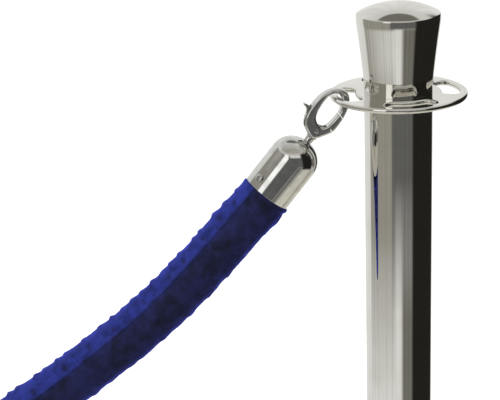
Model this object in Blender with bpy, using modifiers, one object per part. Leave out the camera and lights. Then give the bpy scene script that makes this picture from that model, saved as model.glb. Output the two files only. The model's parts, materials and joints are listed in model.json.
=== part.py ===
"""Rope barrier post with one velvet rope hooked into its ring.

Frame: metres, +Z up, origin on the floor under the centre of the post. The ring's four slots
face +X, -X, +Y and -Y. The rope hangs in the XZ plane and leaves the slot that faces -X.

Each snap hook is drawn in its own frame. Its Z runs along the swivel axis from the neck to the
nose, its X points to the gate side, and its Y is the direction that the rivet lies in. The
origin of that frame is the hook's neck.
"""

import math

import bmesh
import bpy
from mathutils import Vector

MM = 0.001
GAP = 0.3 * MM                  # left between faces that touch
SIDES = 40                      # facets round a large turned piece
SMALL_SIDES = 20                # facets round a small one

# Post
TUBE_RADIUS = 25.4 * MM
TUBE_WALL = 1.5 * MM
OVERALL_HEIGHT = 1000 * MM
RING_TOP = 933.5 * MM
RING_THICKNESS = 4 * MM
RING_RADIUS = 51 * MM
RING_BORE = 5.4 * MM
GASKET_THICKNESS = 0.8 * MM
PLUG_HEIGHT = 26 * MM
PLUG_RADIUS = TUBE_RADIUS - TUBE_WALL - GAP

# Slots in the ring
SLOT_INNER = 32 * MM
SLOT_OUTER = 45 * MM
SLOT_HALF_ANGLE = math.radians(27)
SLOT_CORNER = 5 * MM
SLOT_COUNT = 4

# Finial
FINIAL_NECK_HEIGHT = 4 * MM
FINIAL_BAND_HEIGHT = 53.5 * MM  # where the flare ends and the upright band at the rim starts
FINIAL_RIM_HEIGHT = 58 * MM
FINIAL_RIM_RADIUS = 31 * MM
FINIAL_WALL = 1.4 * MM
FINIAL_FLARE_POWER = 1.2        # 1 is a straight taper, more is hollower
STUD_RADIUS = 5 * MM
STUD_LENGTH = 38 * MM

# Base
COVER_RADIUS = 160 * MM
COVER_WALL = 1.2 * MM
COVER_TOP = 46 * MM
COVER_SHOULDER_RADIUS = 150 * MM
COVER_SHOULDER_HEIGHT = 16 * MM
COVER_HEM_HEIGHT = 3 * MM
COLLAR_RADIUS = 33 * MM
COLLAR_HEIGHT = 10 * MM
FOOT_THICKNESS = 4 * MM
WEIGHT_RADIUS = 148 * MM
WEIGHT_TOP = 22 * MM
BOSS_TOP = 42 * MM
BOSS_RADIUS = 32 * MM
COUNTERBORE_RADIUS = 17 * MM
COUNTERBORE_TOP = 20 * MM
BOLT_RADIUS = 6 * MM
BOLT_ACROSS_FLATS = 19 * MM
BOLT_HEAD = 7.5 * MM
BOLT_REACH = 60 * MM
WASHER_THICKNESS = 2.5 * MM

# Hook: the point of the hook that the ring's rim bears on, in the hook's frame
RIM_SEAT = Vector((-4.2 * MM, 0, 35.7 * MM))
HOOK_WIDTH = 9 * MM
HOOK_EDGE = 0.6 * MM
SHANK_RADIUS = 2.7 * MM
COLLAR_NECK_RADIUS = 3.4 * MM
LEVER_SLOT = 5.4 * MM
ARM_WIDTH = 3 * MM
ARM_OFFSET = -0.9 * MM
TAB_WIDTH = 4 * MM
GATE_END_GAP = 0.7              # millimetres, between the gate's ends and the hook's loop
PIN_RADIUS = 1.9 * MM
PIN_PLACE = Vector((-0.5 * MM, 0, 8.6 * MM))
SPRING_WIRE = 0.2 * MM
SPRING_RADIUS = 2.35 * MM
SPRING_TURNS = 2
SPRING_OFFSET = 1.65 * MM

# Cap, measured back from the neck along the swivel axis
CAP_RADIUS = 18.7 * MM
CAP_WALL = 1.2 * MM
CAP_TOP = 2 * MM
CAP_DOME = 17 * MM
CAP_END = 51.8 * MM
CAP_BORE = 3.1 * MM
CORE_LENGTH = 27 * MM
SCREW_PLACE = 43.6 * MM
SCREW_ANGLE = math.radians(54)
SCREW_RADIUS = 1.6 * MM
SCREW_HEAD_RADIUS = 3.4 * MM
SCREW_LENGTH = 11 * MM

# Rope
ROPE_RADIUS = 19.3 * MM
ROPE_DROP = math.radians(50)    # the near cap's slope below the horizontal
ROPE_FAR_DROP = math.radians(32)
ROPE_STRAIGHT = 12 * MM         # straight run out of each cap
ROPE_STEP = 60 * MM

# Places on the rope's middle line between its two straight ends, as x and z
ROPE_ROUTE = [
    (-0.120, 0.8415), (-0.136, 0.8245), (-0.153, 0.807), (-0.171, 0.7895), (-0.190, 0.773),
    (-0.209, 0.7575), (-0.229, 0.743), (-0.249, 0.729), (-0.270, 0.715), (-0.285, 0.7055),
]
ROPE_FAR_END = Vector((-0.306, 0, 0.6923))

RIM_PIVOT = Vector((-(SLOT_OUTER + RING_RADIUS) / 2, 0, RING_TOP - RING_THICKNESS / 2))

# Outlines in the hook's frame: x and z in millimetres, True at a sharp corner
LOOP_OUTLINE = [
    (0, 2.0, False), (-5.2, 3.4, False), (-9.4, 6.2, False), (-12.9, 10.6, False),
    (-14.6, 16.0, False), (-15.1, 22.0, False), (-14.8, 28.0, False), (-13.3, 34.0, False),
    (-10.6, 39.2, False), (-7.0, 42.9, False), (-2.6, 44.6, False), (1.8, 43.9, False),
    (5.2, 40.8, False), (8.0, 35.5, False), (9.6, 29.4, False), (10.2, 24.5, False),
    (10.4, 19.5, False), (10.0, 15.0, False), (8.6, 11.9, False), (6.2, 8.2, False),
    (3.4, 4.2, False),
]
WINDOW_OUTLINE = [
    (4.6, 31.0, False), (2.9, 33.8, False), (0.6, 37.6, False), (-4.2, 39.9, False),
    (-7.4, 38.6, False), (-9.3, 35.0, False), (-9.8, 30.0, False), (-9.4, 24.0, False),
    (-8.4, 19.0, False), (-6.2, 15.2, False), (-3.0, 13.2, False), (0.6, 12.8, False),
    (3.0, 14.4, False), (4.4, 18.2, False), (5.0, 23.0, False), (5.1, 27.6, False),
]
GATE_STRETCH = [(2, 16.4), (13, 13.7), (13, 26.0), (2, 29.4)]
LEVER_SLOT_OUTLINE = [
    (14, 4.9, True), (14, 20, True), (-5, 20, True), (-7.5, 15.5, True), (-11.5, 15.5, True),
    (-12.6, 21.2, True), (-20, 21.2, True), (-20, 0, True), (-5.6, 0, True), (-3.6, 4.9, True),
]
LEVER_ARM_OUTLINE = [
    (8.6, 19.0, True), (6.6, 19.0, True), (3.4, 12.6, False), (-0.5, 12.0, False),
    (-5.5, 12.4, False), (-10.5, 13.4, False), (-14.6, 14.8, True), (-14.0, 12.0, False),
    (-12.0, 7.6, False), (-9.0, 5.4, False), (-6.6, 5.7, False), (-3.8, 7.1, False),
    (-0.5, 5.2, False), (2.7, 6.4, False), (6.2, 10.8, False),
]
THUMB_TAB_OUTLINE = [
    (-11.5, 11.5, True), (-14.2, 13.3, False), (-16.0, 16.2, False), (-18.4, 17.8, False),
    (-20.6, 18.5, False), (-20.6, 19.3, False), (-18.2, 20.0, False), (-14.0, 20.4, True),
    (-13.4, 17.4, False), (-12.6, 13.4, True),
]

collection = None
cutters = None


# ---------------------------------------------------------------- helpers

def clear_scene():
    """Empty the scene and make the two collections."""
    global collection, cutters
    for old in list(bpy.data.objects):
        bpy.data.objects.remove(old, do_unlink=True)
    collection = bpy.data.collections.new("rope_barrier_post")
    cutters = bpy.data.collections.new("cutters")
    bpy.context.scene.collection.children.link(collection)
    bpy.context.scene.collection.children.link(cutters)


def make_material(name, colour, roughness, metallic):
    """A Principled material of one colour."""
    material = bpy.data.materials.new(name)
    material.use_nodes = True
    shader = material.node_tree.nodes["Principled BSDF"]
    shader.inputs["Base Color"].default_value = (*colour, 1)
    shader.inputs["Roughness"].default_value = roughness
    shader.inputs["Metallic"].default_value = metallic
    return material


def add_object(name, data, material, parent=None, location=(0, 0, 0), rotation=(0, 0, 0)):
    """Put a mesh or curve in the parts collection, placed in its parent's frame."""
    piece = bpy.data.objects.new(name, data)
    if material:
        data.materials.append(material)
    piece.parent = parent
    piece.location = location
    piece.rotation_euler = rotation
    collection.objects.link(piece)
    return piece


def add_frame(name, location, tilt=0.0, parent=None):
    """An empty that pieces hang on, turned about Y."""
    frame = bpy.data.objects.new(name, None)
    frame.empty_display_size = 0.02
    frame.parent = parent
    frame.location = location
    frame.rotation_euler = (0, tilt, 0)
    collection.objects.link(frame)
    return frame


def move_to_cutters(piece):
    """Make a piece a Boolean tool: drawn as wire and never rendered."""
    collection.objects.unlink(piece)
    cutters.objects.link(piece)
    piece.hide_render = True
    piece.display_type = "WIRE"
    return piece


def combine(piece, tool, operation):
    """Cut a piece with a tool, or join the tool to it."""
    modifier = piece.modifiers.new(operation.lower(), "BOOLEAN")
    modifier.operation = operation
    modifier.solver = "EXACT"
    modifier.object = move_to_cutters(tool)


def turned(name, profile, material, closed=True, sides=SMALL_SIDES, **place):
    """Turn a profile of (radius, height) points about Z, listed down its outer side.

    A closed profile makes a ring. An open one starts and ends on the axis.
    """
    mesh = bpy.data.meshes.new(name)
    edges = [(i, i + 1) for i in range(len(profile) - 1)]
    if closed:
        edges.append((len(profile) - 1, 0))
    mesh.from_pydata([(radius, 0, height) for radius, height in profile], edges, [])
    piece = add_object(name, mesh, material, **place)
    screw = piece.modifiers.new("turn", "SCREW")
    screw.steps = sides
    screw.render_steps = sides
    screw.use_merge_vertices = True
    screw.merge_threshold = 0.00001
    screw.use_smooth_shade = True
    return piece


def rod(name, radius, bottom, top, material, sides=SMALL_SIDES, **place):
    """A plain cylinder on its own Z axis."""
    mesh = bpy.data.meshes.new(name)
    shape = bmesh.new()
    bmesh.ops.create_cone(shape, cap_ends=True, segments=sides, radius1=radius,
                          radius2=radius, depth=top - bottom)
    bmesh.ops.translate(shape, verts=shape.verts, vec=(0, 0, (top + bottom) / 2))
    shape.to_mesh(mesh)
    shape.free()
    mesh.shade_smooth()
    mesh.set_sharp_from_angle(angle=math.radians(40))
    return add_object(name, mesh, material, **place)


def tube_profile(inner, outer, bottom, top):
    """The closed profile of a plain tube or washer."""
    return [(outer, top), (outer, bottom), (inner, bottom), (inner, top)]


def circle_points(radius, sides):
    """Points round a circle about the origin."""
    turn = 2 * math.pi / sides
    return [(radius * math.cos(i * turn), radius * math.sin(i * turn)) for i in range(sides)]


def add_poly_outline(curve, points):
    """Add a closed outline of straight steps to a flat curve."""
    spline = curve.splines.new("POLY")
    spline.points.add(len(points) - 1)
    for point, (x, y) in zip(spline.points, points):
        point.co = (x, y, 0, 1)
    spline.use_cyclic_u = True


def add_smooth_outline(curve, outline):
    """Add a closed outline in millimetres, rounded but at its sharp corners."""
    spline = curve.splines.new("BEZIER")
    spline.bezier_points.add(len(outline) - 1)
    spline.resolution_u = 2
    spline.use_cyclic_u = True
    for point, (x, y, sharp) in zip(spline.bezier_points, outline):
        point.co = (x * MM, y * MM, 0)
        handle = "VECTOR" if sharp else "AUTO"
        point.handle_left_type = handle
        point.handle_right_type = handle


def flat_curve(name, thickness, edge=0.0):
    """An empty flat curve whose outlines fill to a plate with chamfered edges."""
    curve = bpy.data.curves.new(name, "CURVE")
    curve.dimensions = "2D"
    curve.fill_mode = "BOTH"
    curve.extrude = thickness / 2 - edge
    curve.bevel_depth = edge
    curve.bevel_resolution = 0
    curve.offset = -edge
    return curve


def curve_to_mesh(piece):
    """Swap a curve object for a closed mesh object of the same name and place."""
    bpy.context.view_layer.update()
    evaluated = piece.evaluated_get(bpy.context.evaluated_depsgraph_get())
    mesh = bpy.data.meshes.new_from_object(evaluated)
    shape = bmesh.new()
    shape.from_mesh(mesh)
    bmesh.ops.remove_doubles(shape, verts=shape.verts, dist=0.000005)
    bmesh.ops.recalc_face_normals(shape, faces=shape.faces)
    shape.to_mesh(mesh)
    shape.free()
    name = piece.name
    piece.name = name + "_curve"
    solid = bpy.data.objects.new(name, mesh)
    solid.parent = piece.parent
    solid.matrix_world = piece.matrix_world
    collection.objects.link(solid)
    bpy.data.objects.remove(piece, do_unlink=True)
    return solid


def hook_plate(name, outlines, width, material, parent, offset=0.0, edge=0.0, origin=None):
    """A plate drawn in the hook's XZ plane and as wide as given along Y."""
    curve = flat_curve(name, width, edge)
    place = origin or Vector((0, 0, 0))
    for outline in outlines:
        shifted = [(x - place.x / MM, z - place.z / MM, sharp) for x, z, sharp in outline]
        add_smooth_outline(curve, shifted)
    piece = add_object(name, curve, material, parent, (0, offset, 0), (math.pi / 2, 0, 0))
    return curve_to_mesh(piece)


def arc(centre, radius, start, end, steps):
    """Points on an arc, in degrees, both ends included."""
    turn = (end - start) / steps
    angles = [math.radians(start + i * turn) for i in range(steps + 1)]
    return [(centre[0] + radius * math.cos(a), centre[1] + radius * math.sin(a)) for a in angles]


# ---------------------------------------------------------------- base

def cover_height(radius):
    """Height of the cover's outer face between the collar and the shoulder."""
    share = max(0.0, (radius - COLLAR_RADIUS) / (COVER_SHOULDER_RADIUS - COLLAR_RADIUS))
    return COVER_TOP - (COVER_TOP - COVER_SHOULDER_HEIGHT) * share ** 2


def cover_side(wall):
    """Half of the cover's profile, from the tube out to the hem, set in by wall."""
    bore = TUBE_RADIUS + GAP
    radii = [bore, COLLAR_RADIUS, 0.07, 0.1, 0.128, COVER_SHOULDER_RADIUS - wall]
    side = [(radius, cover_height(radius) - wall) for radius in radii]
    drop = COVER_SHOULDER_HEIGHT - wall - COVER_HEM_HEIGHT
    reach = COVER_RADIUS - COVER_SHOULDER_RADIUS
    for turn in (35, 65, 90):
        angle = math.radians(turn)
        side.append((COVER_SHOULDER_RADIUS - wall + reach * math.sin(angle),
                     COVER_HEM_HEIGHT + drop * math.cos(angle)))
    return side


def build_base(steel, iron, rubber, zinc):
    """Rubber foot ring, weight, cover, collar and the bolt that holds the tube."""
    turned("floor_ring", tube_profile(0.136, COVER_RADIUS - COVER_WALL - 2 * GAP, 0,
                                      FOOT_THICKNESS), rubber, sides=SIDES)

    bottom = FOOT_THICKNESS + GAP
    bore = BOLT_RADIUS + 0.8 * MM
    turned("base_weight", [
        (BOSS_RADIUS, BOSS_TOP), (BOSS_RADIUS + 12 * MM, WEIGHT_TOP), (0.12, WEIGHT_TOP),
        (WEIGHT_RADIUS - 2 * MM, 12 * MM), (WEIGHT_RADIUS, 10 * MM), (WEIGHT_RADIUS, bottom),
        (COUNTERBORE_RADIUS, bottom), (COUNTERBORE_RADIUS, COUNTERBORE_TOP),
        (bore, COUNTERBORE_TOP), (bore, BOSS_TOP)], iron, sides=SIDES)

    turned("base_cover", cover_side(0) + cover_side(COVER_WALL)[::-1], steel, sides=SIDES)

    foot = COVER_TOP + GAP
    bore = TUBE_RADIUS + GAP
    turned("base_collar", [
        (bore, foot + COLLAR_HEIGHT), (bore + 1.5 * MM, foot + COLLAR_HEIGHT),
        (COLLAR_RADIUS - 2.5 * MM, foot + 5 * MM), (COLLAR_RADIUS - 0.8 * MM, foot + 2.6 * MM),
        (COLLAR_RADIUS, foot + MM), (COLLAR_RADIUS, foot), (bore, foot)], steel, sides=SIDES)

    washer_top = COUNTERBORE_TOP - GAP
    washer_foot = washer_top - WASHER_THICKNESS
    turned("base_washer", tube_profile(BOLT_RADIUS + 0.5 * MM, 14 * MM, washer_foot,
                                       washer_top), zinc)

    lock_top = washer_foot - GAP
    lock_foot = lock_top - WASHER_THICKNESS
    build_lock_washer(zinc, (lock_top + lock_foot) / 2)

    head_top = lock_foot - GAP
    bolt = rod("base_bolt", BOLT_RADIUS, head_top - MM, BOLT_REACH, zinc)
    corner = BOLT_ACROSS_FLATS / 2 / math.cos(math.pi / 6)
    head = rod("bolt_head", corner, head_top - BOLT_HEAD, head_top, zinc, sides=6)
    combine(bolt, head, "UNION")

    turned("foot_plug", tube_profile(BOLT_RADIUS + 0.4 * MM, PLUG_RADIUS, BOSS_TOP + GAP,
                                     BOSS_TOP + PLUG_HEIGHT), zinc)


def build_lock_washer(material, height):
    """A split washer: a flat ring with one narrow cut."""
    curve = flat_curve("base_lock_washer", WASHER_THICKNESS)
    outer = arc((0, 0), 10.5 * MM, 6, 354, 30)
    inner = arc((0, 0), BOLT_RADIUS + 0.4 * MM, 354, 6, 30)
    add_poly_outline(curve, outer + inner)
    add_object("base_lock_washer", curve, material, location=(0, 0, height))


# ---------------------------------------------------------------- post, ring and finial

def slot_outline(direction):
    """A kidney slot with rounded corners, centred on a direction."""
    points = []
    corners = [(SLOT_OUTER - SLOT_CORNER, -1, -90), (SLOT_OUTER - SLOT_CORNER, 1, 0),
               (SLOT_INNER + SLOT_CORNER, 1, 90), (SLOT_INNER + SLOT_CORNER, -1, 180)]
    steps = 6
    for radius, side, start in corners:
        inset = math.asin(SLOT_CORNER / radius)
        angle = direction + side * (SLOT_HALF_ANGLE - inset)
        centre = (radius * math.cos(angle), radius * math.sin(angle))
        turn = math.degrees(angle) + start
        points += arc(centre, SLOT_CORNER, turn, turn + 90, 3)
        if side == -1 and start == -90:
            points += slot_side(SLOT_OUTER, direction, -1, steps)
        if side == 1 and start == 90:
            points += slot_side(SLOT_INNER, direction, 1, steps)
    return points


def slot_side(radius, direction, sign, steps):
    """The long curved side of a slot, between its two corner arcs."""
    reach = SLOT_HALF_ANGLE - 1.6 * SLOT_CORNER / radius
    angles = [direction + sign * reach * (1 - 2 * i / steps) for i in range(steps + 1)]
    return [(radius * math.cos(a), radius * math.sin(a)) for a in angles]


def build_ring(steel):
    """The ring plate with its slots and the hole for the stud."""
    curve = flat_curve("hook_ring", RING_THICKNESS, edge=MM)
    add_poly_outline(curve, circle_points(RING_RADIUS, 72))
    add_poly_outline(curve, circle_points(RING_BORE, 24))
    for index in range(SLOT_COUNT):
        add_poly_outline(curve, slot_outline(2 * math.pi * index / SLOT_COUNT))
    add_object("hook_ring", curve, steel, location=(0, 0, RING_TOP - RING_THICKNESS / 2))


def build_post(steel, zinc, fibre):
    """Tube, its top plug and the gasket under the ring."""
    gasket_top = RING_TOP - RING_THICKNESS - GAP
    tube_top = gasket_top - GASKET_THICKNESS - GAP
    turned("post_tube", tube_profile(TUBE_RADIUS - TUBE_WALL, TUBE_RADIUS, BOSS_TOP + GAP,
                                     tube_top), steel, sides=SIDES)
    turned("top_plug", tube_profile(STUD_RADIUS + 0.4 * MM, PLUG_RADIUS,
                                    tube_top - PLUG_HEIGHT, tube_top), zinc)
    turned("ring_gasket", tube_profile(18 * MM, TUBE_RADIUS, gasket_top - GASKET_THICKNESS,
                                       gasket_top), fibre, sides=SIDES)


def flare_radius(height):
    """Outer radius of the finial at a height above its foot, below the rim."""
    share = (height - FINIAL_NECK_HEIGHT) / (FINIAL_BAND_HEIGHT - FINIAL_NECK_HEIGHT)
    share = min(1.0, max(0.0, share))
    return TUBE_RADIUS + (FINIAL_RIM_RADIUS - TUBE_RADIUS) * share ** FINIAL_FLARE_POWER


def dome(radius, foot, top, steps):
    """A shallow spherical cap from its crown out to its edge."""
    rise = top - foot
    sphere = (radius ** 2 + rise ** 2) / (2 * rise)
    spread = math.asin(radius / sphere)
    angles = [spread * i / steps for i in range(steps + 1)]
    return [(sphere * math.sin(a), top - sphere * (1 - math.cos(a))) for a in angles]


def build_finial(steel, zinc):
    """Hollow flared finial, the threaded disc in its neck, and the clamping stud."""
    foot = RING_TOP + GAP
    rim = RING_TOP + FINIAL_RIM_HEIGHT
    heights = [FINIAL_RIM_HEIGHT - 0.8 * MM, FINIAL_BAND_HEIGHT, 42 * MM, 28 * MM, 15 * MM,
               FINIAL_NECK_HEIGHT, GAP]
    outer = dome(FINIAL_RIM_RADIUS - MM, rim + 0.6 * MM, OVERALL_HEIGHT, 6)
    outer += [(FINIAL_RIM_RADIUS - 0.2 * MM, rim + 0.2 * MM)]
    outer += [(flare_radius(height), RING_TOP + height) for height in heights]
    lower = [(flare_radius(height) - FINIAL_WALL, RING_TOP + height)
             for height in (GAP, FINIAL_NECK_HEIGHT, 15 * MM, 28 * MM, 50 * MM)]
    upper = dome(FINIAL_RIM_RADIUS - 2.6 * MM, rim - 0.8 * MM, OVERALL_HEIGHT - FINIAL_WALL, 4)
    turned("finial_shell", outer + lower + upper[::-1], steel, closed=False, sides=SIDES)

    insert_radius = TUBE_RADIUS - FINIAL_WALL - GAP
    turned("finial_insert", tube_profile(STUD_RADIUS + 0.4 * MM, insert_radius, foot,
                                         foot + 11 * MM), zinc)
    middle = RING_TOP - RING_THICKNESS / 2
    rod("finial_stud", STUD_RADIUS, middle - STUD_LENGTH / 2, middle + STUD_LENGTH / 2, zinc)


# ---------------------------------------------------------------- hook

def build_hook(side, frame, chrome, zinc, spring_steel):
    """Snap hook body with its shank, the sprung lever, the rivet and the nut."""
    loop = [LOOP_OUTLINE, WINDOW_OUTLINE]
    body = hook_plate(side + "_hook_body", loop, HOOK_WIDTH, chrome, frame, edge=HOOK_EDGE)
    combine(body, gate_stretch(side + "_opening", -GATE_END_GAP / 2, frame), "DIFFERENCE")
    shank = turned(side + "_shank", [
        (0, 4.0 * MM), (3.0 * MM, 4.0 * MM), (4.2 * MM, 2.8 * MM),
        (COLLAR_NECK_RADIUS, MM), (COLLAR_NECK_RADIUS, GAP - CAP_TOP),
        (SHANK_RADIUS, GAP - CAP_TOP), (SHANK_RADIUS, -12 * MM), (0, -12 * MM)],
        chrome, closed=False, parent=frame)
    combine(body, shank, "UNION")
    slot = hook_plate(side + "_lever_slot", [LEVER_SLOT_OUTLINE], LEVER_SLOT, chrome, frame)
    combine(body, slot, "DIFFERENCE")
    combine(body, across(side + "_pin_bore", PIN_RADIUS + GAP, HOOK_WIDTH, frame), "DIFFERENCE")

    pivot = add_frame(side + "_gate_axis", PIN_PLACE, parent=frame)
    lever = hook_plate(side + "_gate", [LEVER_ARM_OUTLINE], ARM_WIDTH, chrome, pivot,
                       offset=ARM_OFFSET, origin=PIN_PLACE)
    bar = hook_plate(side + "_gate_bar", loop, HOOK_WIDTH, chrome, pivot, edge=HOOK_EDGE,
                     origin=PIN_PLACE)
    combine(bar, gate_stretch(side + "_gate_ends", GATE_END_GAP / 2, frame), "INTERSECT")
    tab = hook_plate(side + "_thumb_tab", [THUMB_TAB_OUTLINE], TAB_WIDTH, chrome, pivot,
                     edge=0.3 * MM, origin=PIN_PLACE)
    combine(lever, bar, "UNION")
    combine(lever, tab, "UNION")
    combine(lever, across(side + "_hub_bore", PIN_RADIUS + GAP, HOOK_WIDTH, frame), "DIFFERENCE")

    rod(side + "_gate_pin", PIN_RADIUS, -HOOK_WIDTH / 2, HOOK_WIDTH / 2, zinc, sides=24,
        parent=frame, location=PIN_PLACE, rotation=(math.pi / 2, 0, 0))
    build_gate_spring(side, frame, spring_steel)
    build_swivel(side, frame, zinc)


def gate_stretch(name, inset, frame):
    """A block round the stretch of the loop that opens, with its two ends moved in."""
    foot, foot_out, nose_out, nose = GATE_STRETCH
    outline = [(x, z + inset, True) for x, z in (foot, foot_out)]
    outline += [(x, z - inset, True) for x, z in (nose_out, nose)]
    return hook_plate(name, [outline], HOOK_WIDTH + 2 * MM, None, frame)


def across(name, radius, width, frame):
    """A cutter along Y through the rivet's place."""
    reach = width / 2 + MM
    return rod(name, radius, -reach, reach, None, sides=24, parent=frame, location=PIN_PLACE,
               rotation=(math.pi / 2, 0, 0))


def build_gate_spring(side, frame, material):
    """Torsion spring beside the lever's hub, with one leg to the tail and one to the gate."""
    steps = 14
    pitch = 2.6 * SPRING_WIRE
    coil = []
    for index in range(SPRING_TURNS * steps + 1):
        turns = index / steps
        angle = 2 * math.pi * turns - math.pi / 2
        coil.append(Vector((SPRING_RADIUS * math.cos(angle),
                            SPRING_OFFSET + pitch * (turns - SPRING_TURNS / 2),
                            SPRING_RADIUS * math.sin(angle))))
    tail_leg = Vector((-8.5 * MM, coil[0].y, -1.5 * MM))
    gate_leg = Vector((5 * MM, coil[-1].y, -0.5 * MM))
    points = [tail_leg, *coil, gate_leg]
    curve = bpy.data.curves.new(side + "_gate_spring", "CURVE")
    curve.dimensions = "3D"
    curve.bevel_depth = SPRING_WIRE
    curve.bevel_resolution = 2
    curve.use_fill_caps = True
    spline = curve.splines.new("POLY")
    spline.points.add(len(points) - 1)
    for point, place in zip(spline.points, points):
        point.co = (*place, 1)
    add_object(side + "_gate_spring", curve, material, frame, PIN_PLACE)


def build_swivel(side, frame, zinc):
    """Washer and nut that keep the hook's shank in the cap."""
    turned(side + "_swivel_washer", tube_profile(CAP_BORE, 6 * MM, -6 * MM, -4.8 * MM), zinc,
           parent=frame)
    curve = flat_curve(side + "_swivel_nut", 4.4 * MM)
    add_poly_outline(curve, circle_points(5.6 * MM, 6))
    add_poly_outline(curve, circle_points(SHANK_RADIUS + GAP, 24))
    add_object(side + "_swivel_nut", curve, zinc, frame, (0, 0, -8.6 * MM))


# ---------------------------------------------------------------- rope

def cap_profile(radius, height, top):
    """Half of the cap's side from its crown hole down to its open end."""
    points = []
    start = math.degrees(math.acos(CAP_BORE / radius))
    steps = 6
    for index in range(steps + 1):
        angle = math.radians(start * (1 - index / steps))
        points.append((radius * math.cos(angle), -top - height * (1 - math.sin(angle))))
    points.append((radius, -CAP_END))
    return points


def build_cap(side, frame, chrome, zinc, wood):
    """End cap, the rope's core inside it and the screw through both."""
    inner = cap_profile(CAP_RADIUS - CAP_WALL, CAP_DOME - CAP_WALL, CAP_TOP + CAP_WALL)
    cap = turned(side + "_rope_cap", cap_profile(CAP_RADIUS, CAP_DOME, CAP_TOP) + inner[::-1],
                 chrome, sides=32, parent=frame)
    core_radius = CAP_RADIUS - CAP_WALL - GAP
    core = rod(side + "_rope_core", core_radius, -CAP_END, CORE_LENGTH - CAP_END, wood,
               sides=32, parent=frame)

    outward = Vector((-math.sin(SCREW_ANGLE), -math.cos(SCREW_ANGLE), 0))
    turn = outward.to_track_quat("Z", "Y").to_euler()
    place = {"parent": frame, "location": (0, 0, -SCREW_PLACE), "rotation": turn}
    seat = CAP_RADIUS + GAP
    tip = seat - SCREW_LENGTH
    for target, name in ((cap, "_cap_bore"), (core, "_core_bore")):
        cutter = rod(side + name, SCREW_RADIUS + GAP, tip - MM, CAP_RADIUS + 3 * MM, None,
                     sides=16, **place)
        combine(target, cutter, "DIFFERENCE")
    screw = turned(side + "_cap_screw", [
        (0, seat + 1.7 * MM), (1.6 * MM, seat + 1.5 * MM), (2.8 * MM, seat + 0.9 * MM),
        (SCREW_HEAD_RADIUS, seat), (SCREW_RADIUS, seat), (SCREW_RADIUS, tip + 2 * MM),
        (0, tip)], zinc, closed=False, sides=24, **place)
    for quarter in (0, 1):
        combine(screw, cross_blade(side, quarter, seat, place), "DIFFERENCE")


def cross_blade(side, quarter, seat, place):
    """One bar of the cross recess in the screw's head."""
    mesh = bpy.data.meshes.new(side + "_recess")
    shape = bmesh.new()
    bmesh.ops.create_cube(shape, size=1)
    length = 3.2 * MM
    width = 0.7 * MM
    size = (length, width) if quarter else (width, length)
    bmesh.ops.scale(shape, verts=shape.verts, vec=(*size, 2 * MM))
    bmesh.ops.translate(shape, verts=shape.verts, vec=(0, 0, seat + 1.8 * MM))
    shape.to_mesh(mesh)
    shape.free()
    return add_object(side + "_recess_" + str(quarter), mesh, None, **place)


def smooth_route(points, step):
    """Points a step apart on a smooth curve through the given places."""
    ends = [2 * points[0] - points[1], *points, 2 * points[-1] - points[-2]]
    fine = []
    for before, start, end, after in zip(ends, ends[1:], ends[2:], ends[3:]):
        for index in range(20):
            t = index / 20
            fine.append(0.5 * (2 * start + (end - before) * t
                               + (2 * before - 5 * start + 4 * end - after) * t ** 2
                               + (3 * start - before - 3 * end + after) * t ** 3))
    fine.append(points[-1])
    length = sum((b - a).length for a, b in zip(fine, fine[1:]))
    spacing = length / round(length / step)
    chosen = [fine[0]]
    walked = 0.0
    for here, ahead in zip(fine, fine[1:]):
        walked += (ahead - here).length
        if walked >= spacing * len(chosen) - 1e-6:
            chosen.append(ahead)
    return chosen


def build_rope(velvet, start, far_end):
    """The velvet-covered rope between the open ends of its two caps."""
    near_way = Vector((-math.cos(ROPE_DROP), 0, -math.sin(ROPE_DROP)))
    far_way = Vector((-math.cos(ROPE_FAR_DROP), 0, -math.sin(ROPE_FAR_DROP)))
    start = start + GAP * near_way
    end = far_end - GAP * far_way
    inside = [start + ROPE_STRAIGHT * near_way]
    inside += [Vector((x, 0, z)) for x, z in ROPE_ROUTE]
    inside += [end - ROPE_STRAIGHT * far_way]
    points = [start, *smooth_route(inside, ROPE_STEP), end]

    curve = bpy.data.curves.new("rope", "CURVE")
    curve.dimensions = "3D"
    curve.bevel_depth = ROPE_RADIUS
    curve.bevel_resolution = 4
    curve.use_fill_caps = True
    spline = curve.splines.new("POLY")
    spline.points.add(len(points) - 1)
    for point, place in zip(spline.points, points):
        point.co = (*place, 1)
    add_object("rope", curve, velvet)


# ---------------------------------------------------------------- assembly

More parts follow.
